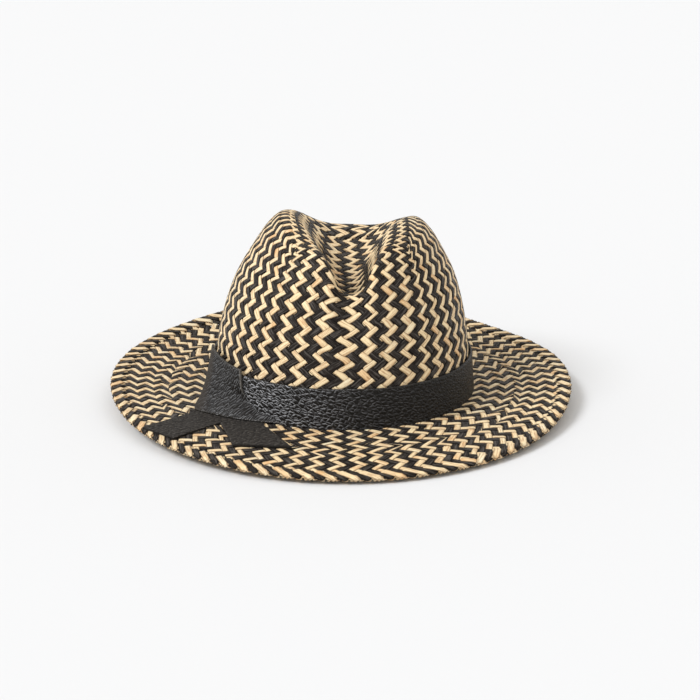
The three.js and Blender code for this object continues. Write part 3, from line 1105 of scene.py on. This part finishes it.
def straw_finish(name, pale, usual, deep, fibre_tone_and_sheen, side_shade, roughness, fibre_share, specular):
    """Split palm straw: fine fibres along each strand, pale with painted sheen on black straw, a tone
    of its own for each, and painted shade at its sides, where it meets the next strand."""
    straw = Finish(name)
    place = straw.node("UVMap", {"uv_map": "Straw"}, {})
    tint = straw.mark("tint")
    side = straw.mark("side")
    fibres = straw.noise(straw.stretched(place, FIBRES), 1, 4, 0.7)
    patches = straw.noise(straw.stretched(place, PATCHES), 1, 2)
    tone = tint * 0.7 + patches * 0.8 - 0.25
    colour = straw.ramp(tone, (0.0, pale), (0.35, usual), (0.7, usual), (1.0, deep))
    lines = straw.ramp(fibres, (0.4, grey(1)), (0.52, grey(0)))
    # Fibre lines: a darker tone of their own on natural straw, pale painted sheen on black straw
    colour = straw.mix(lines * fibre_share, colour, fibre_tone_and_sheen)
    # Painted shade at each strand's sides, where it meets the next strand
    colour = straw.mix(side * 0.8, colour, side_shade)
    normal = straw.bump(fibres, FIBRE_DEPTH)
    shine = roughness + (patches - 0.5) * 0.2
    return straw.surface(base_color=colour, roughness=shine, normal=normal, specular_ior_level=specular)


def leather_finish(name, dark, bright, size, turn, lit_from, pores_share, roughness, edge_highlight_share, shine):
    """Black hide with pebbles of this size and turn. Each has a painted highlight on the side that faces
    the light, as strong as shine says at places along the hide in metres; cut edges get a painted highlight
    too."""
    hide = Finish(name)
    place = hide.node("UVMap", {"uv_map": "Hide"}, {})
    cut = hide.mark("edge")
    matte = hide.mark("matte")
    run = hide.node("SeparateXYZ", {}, {"Vector": place})
    push = hide.node("TexNoise", {}, {"Vector": place, "Scale": PUSHES, "Detail": 2.0}, 1)
    moved = hide.vector("MULTIPLY_ADD", push, PEBBLE_PUSH, place)
    beyond = hide.vector("ADD", moved, lit_from)
    grain = [hide.stretched(where, PEBBLE_STRETCH, turn) for where in (moved, beyond)]
    pebble, farther = (
        hide.node("TexVoronoi", {"feature": "DISTANCE_TO_EDGE"}, {"Vector": where, "Scale": 1 / size})
        for where in grain
    )
    flank = hide.ramp(pebble, (0.0, grey(0.2)), (0.06, grey(1)), (0.2, grey(0.5)), (0.4, grey(0)))
    # Painted highlight: each pebble is paler on its flank towards lit_from, where the light falls
    lit = (pebble - farther) * 10 * flank
    pores = hide.ramp(hide.noise(place, PORES, 3, 0.6), (0.4, grey(0)), (0.62, grey(1)))
    # Patches where the painted pebble highlight is weaker
    highlight_patches = hide.ramp(hide.noise(place, HIGHLIGHT_PATCHES, 2), (0.34, grey(0.25)), (0.6, grey(1)))
    # Strength of the painted highlight along the hide, as shine gives it, weaker where the leather is matte
    painted_shine = hide.ramp(run, *[(spot, grey(value)) for spot, value in shine]) * (1 - matte * 0.75)
    colour = hide.mix(lit * painted_shine * highlight_patches, dark, bright)
    colour = hide.mix(pores * pores_share + matte * 0.24, colour, DULL_LEATHER)
    # Painted highlight along the cut edges, where their bevel catches the light
    colour = hide.mix(cut * edge_highlight_share, colour, EDGE_HIGHLIGHT)
    dome = hide.ramp(pebble, (0.0, grey(0)), (0.12, grey(0.6)), (0.4, grey(1)))
    normal = hide.bump(dome * (1 - matte * 0.6) + pores * 0.15, PEBBLE_DEPTH)
    gloss = roughness + (pores - 0.5) * 0.1 + matte * 0.3 + cut * 0.2
    return hide.surface(base_color=colour, roughness=gloss, normal=normal, specular_ior_level=0.22)


STRAW_FINISHES = {
    "natural": straw_finish(
        "natural_straw",
        pale=linear(255, 243, 208),
        usual=linear(253, 229, 184),
        deep=linear(240, 192, 134),
        fibre_tone_and_sheen=linear(184, 128, 76),
        # Painted shade between strands
        side_shade=linear(120, 78, 44),
        roughness=0.5,
        fibre_share=0.65,
        specular=0.3,
    ),
    "black": straw_finish(
        "black_straw",
        pale=linear(48, 43, 39),
        usual=linear(37, 32, 29),
        deep=linear(27, 23, 21),
        # Pale fibre streaks: painted sheen
        fibre_tone_and_sheen=linear(108, 102, 96),
        # Painted shade between strands
        side_shade=linear(8, 6, 5),
        roughness=0.38,
        fibre_share=0.62,
        specular=0.05,
    ),
}

BAND_FINISH = leather_finish(
    "grained_leather_band",
    dark=linear(10, 8, 6),
    bright=linear(215, 215, 218),
    size=0.0021,
    turn=0.35,
    lit_from=(-0.00015, 0.0003, 0),
    pores_share=0.05,
    roughness=0.42,
    edge_highlight_share=0.3,
    # Painted highlight on the pebbles, strongest on the band's left front where the light falls
    shine=[(0.0, 0.1), (0.3, 0.4), (0.35, 1), (0.39, 0.85), (0.45, 0.2), (0.52, 0.05)],
)
LOOP_FINISH = leather_finish(
    "grained_leather_loop",
    dark=linear(10, 8, 6),
    bright=linear(160, 160, 162),
    size=0.0019,
    turn=0.3,
    lit_from=(0.0003, 0.00015, 0),
    pores_share=0.1,
    roughness=0.45,
    edge_highlight_share=0.75,
    # Painted highlight on the pebbles, strongest low on the loop
    shine=[(0.0, 0.9), (0.012, 0.6), (0.036, 0.5)],
)
TAIL_FINISH = leather_finish(
    "smooth_leather",
    dark=linear(14, 12, 10),
    bright=linear(130, 124, 118),
    size=0.0023,
    turn=0,
    lit_from=(-0.0003, 0.0003, 0),
    pores_share=0.3,
    roughness=0.75,
    edge_highlight_share=0.12,
    # Even painted highlight on the pebbles along the tails
    shine=[(0.0, 0.6), (1.0, 0.6)],
)


def dress_hat():
    for part, bundles, strips, node in (
        ("crown", plait_crown(), 1, "crown"),
        ("brim", plait_brim(), 4, "brim"),
        ("rim", plait_rim(), 12, "brim"),
    ):
        for colour, bundle in bundles.items():
            piece = bundle.make(f"{part}_straw_{colour}", STRAW_FINISHES[colour], strips)
            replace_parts(piece, node)
    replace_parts(make_band(BAND_FINISH), "hat_band")
    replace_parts(make_loop(LOOP_FINISH), "band_loop")
    for name, edges in TAILS.items():
        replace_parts(make_tail("strap_" + name, edges, TAIL_FINISH), name)


dress_hat()


# Camera, floor and light

CAMERA_ELEVATION = math.radians(16.76)
CAMERA_AZIMUTH = math.radians(2.37)
CAMERA_DISTANCE = 1.5
CAMERA_LENS = 115.7
CAMERA_POINT = Vector((0.001, 0.0021, 0.050))
AIM_RIGHT = 0.0053
AIM_DOWN = 0.0189

FLOOR_HALF = 6
FLOOR_DROP = 0.0003
FLOOR_GREY = 0.797
SUN_FROM = Vector((-0.64, -0.3, 0.71))


def set_camera():
    camera = bpy.data.objects.new("camera", bpy.data.cameras.new("camera"))
    camera.data.lens = CAMERA_LENS
    camera.data.sensor_width = 36
    ahead = Vector((
        math.sin(CAMERA_AZIMUTH) * math.cos(CAMERA_ELEVATION),
        math.cos(CAMERA_AZIMUTH) * math.cos(CAMERA_ELEVATION),
        -math.sin(CAMERA_ELEVATION),
    ))
    right = ahead.cross(Vector((0, 0, 1))).normalized()
    up = right.cross(ahead)
    camera.location = CAMERA_POINT - ahead * CAMERA_DISTANCE
    aim = CAMERA_POINT + right * AIM_RIGHT - up * AIM_DOWN
    camera.rotation_euler = (aim - camera.location).to_track_quat("-Z", "Y").to_euler()
    camera.data.clip_end = 50
    bpy.context.scene.collection.objects.link(camera)
    bpy.context.scene.camera = camera


def set_floor():
    mesh = bpy.data.meshes.new("floor")
    corners = [(-1, -1), (1, -1), (1, 1), (-1, 1)]
    mesh.from_pydata([(x * FLOOR_HALF, y * FLOOR_HALF, 0) for x, y in corners], [], [(0, 1, 2, 3)])
    paper = Finish("white_paper")
    mesh.materials.append(paper.surface(base_color=grey(FLOOR_GREY), roughness=0.9))
    floor = bpy.data.objects.new("floor", mesh)
    floor.location.z = -FLOOR_DROP
    bpy.context.scene.collection.objects.link(floor)
    floor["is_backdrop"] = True


def set_light():
    world = bpy.data.worlds.new("studio")
    world.use_nodes = True
    sky = world.node_tree.nodes["Background"]
    sky.inputs["Color"].default_value = (1, 0.988, 0.968, 1)
    sky.inputs["Strength"].default_value = 0.79
    bpy.context.scene.world = world
    lamp = bpy.data.lights.new("window", "SUN")
    lamp.energy = 1.95
    lamp.color = (0.926, 0.954, 1)
    lamp.angle = math.radians(24)
    window = bpy.data.objects.new("window", lamp)
    window.rotation_euler = SUN_FROM.to_track_quat("Z", "Y").to_euler()
    bpy.context.scene.collection.objects.link(window)
    bpy.context.scene.view_settings.view_transform = "Standard"


set_camera()
set_floor()
set_light()

NEW_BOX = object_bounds()
sizes = {"cad": [list(corner) for corner in CAD_BOX], "visual": [list(corner) for corner in NEW_BOX]}
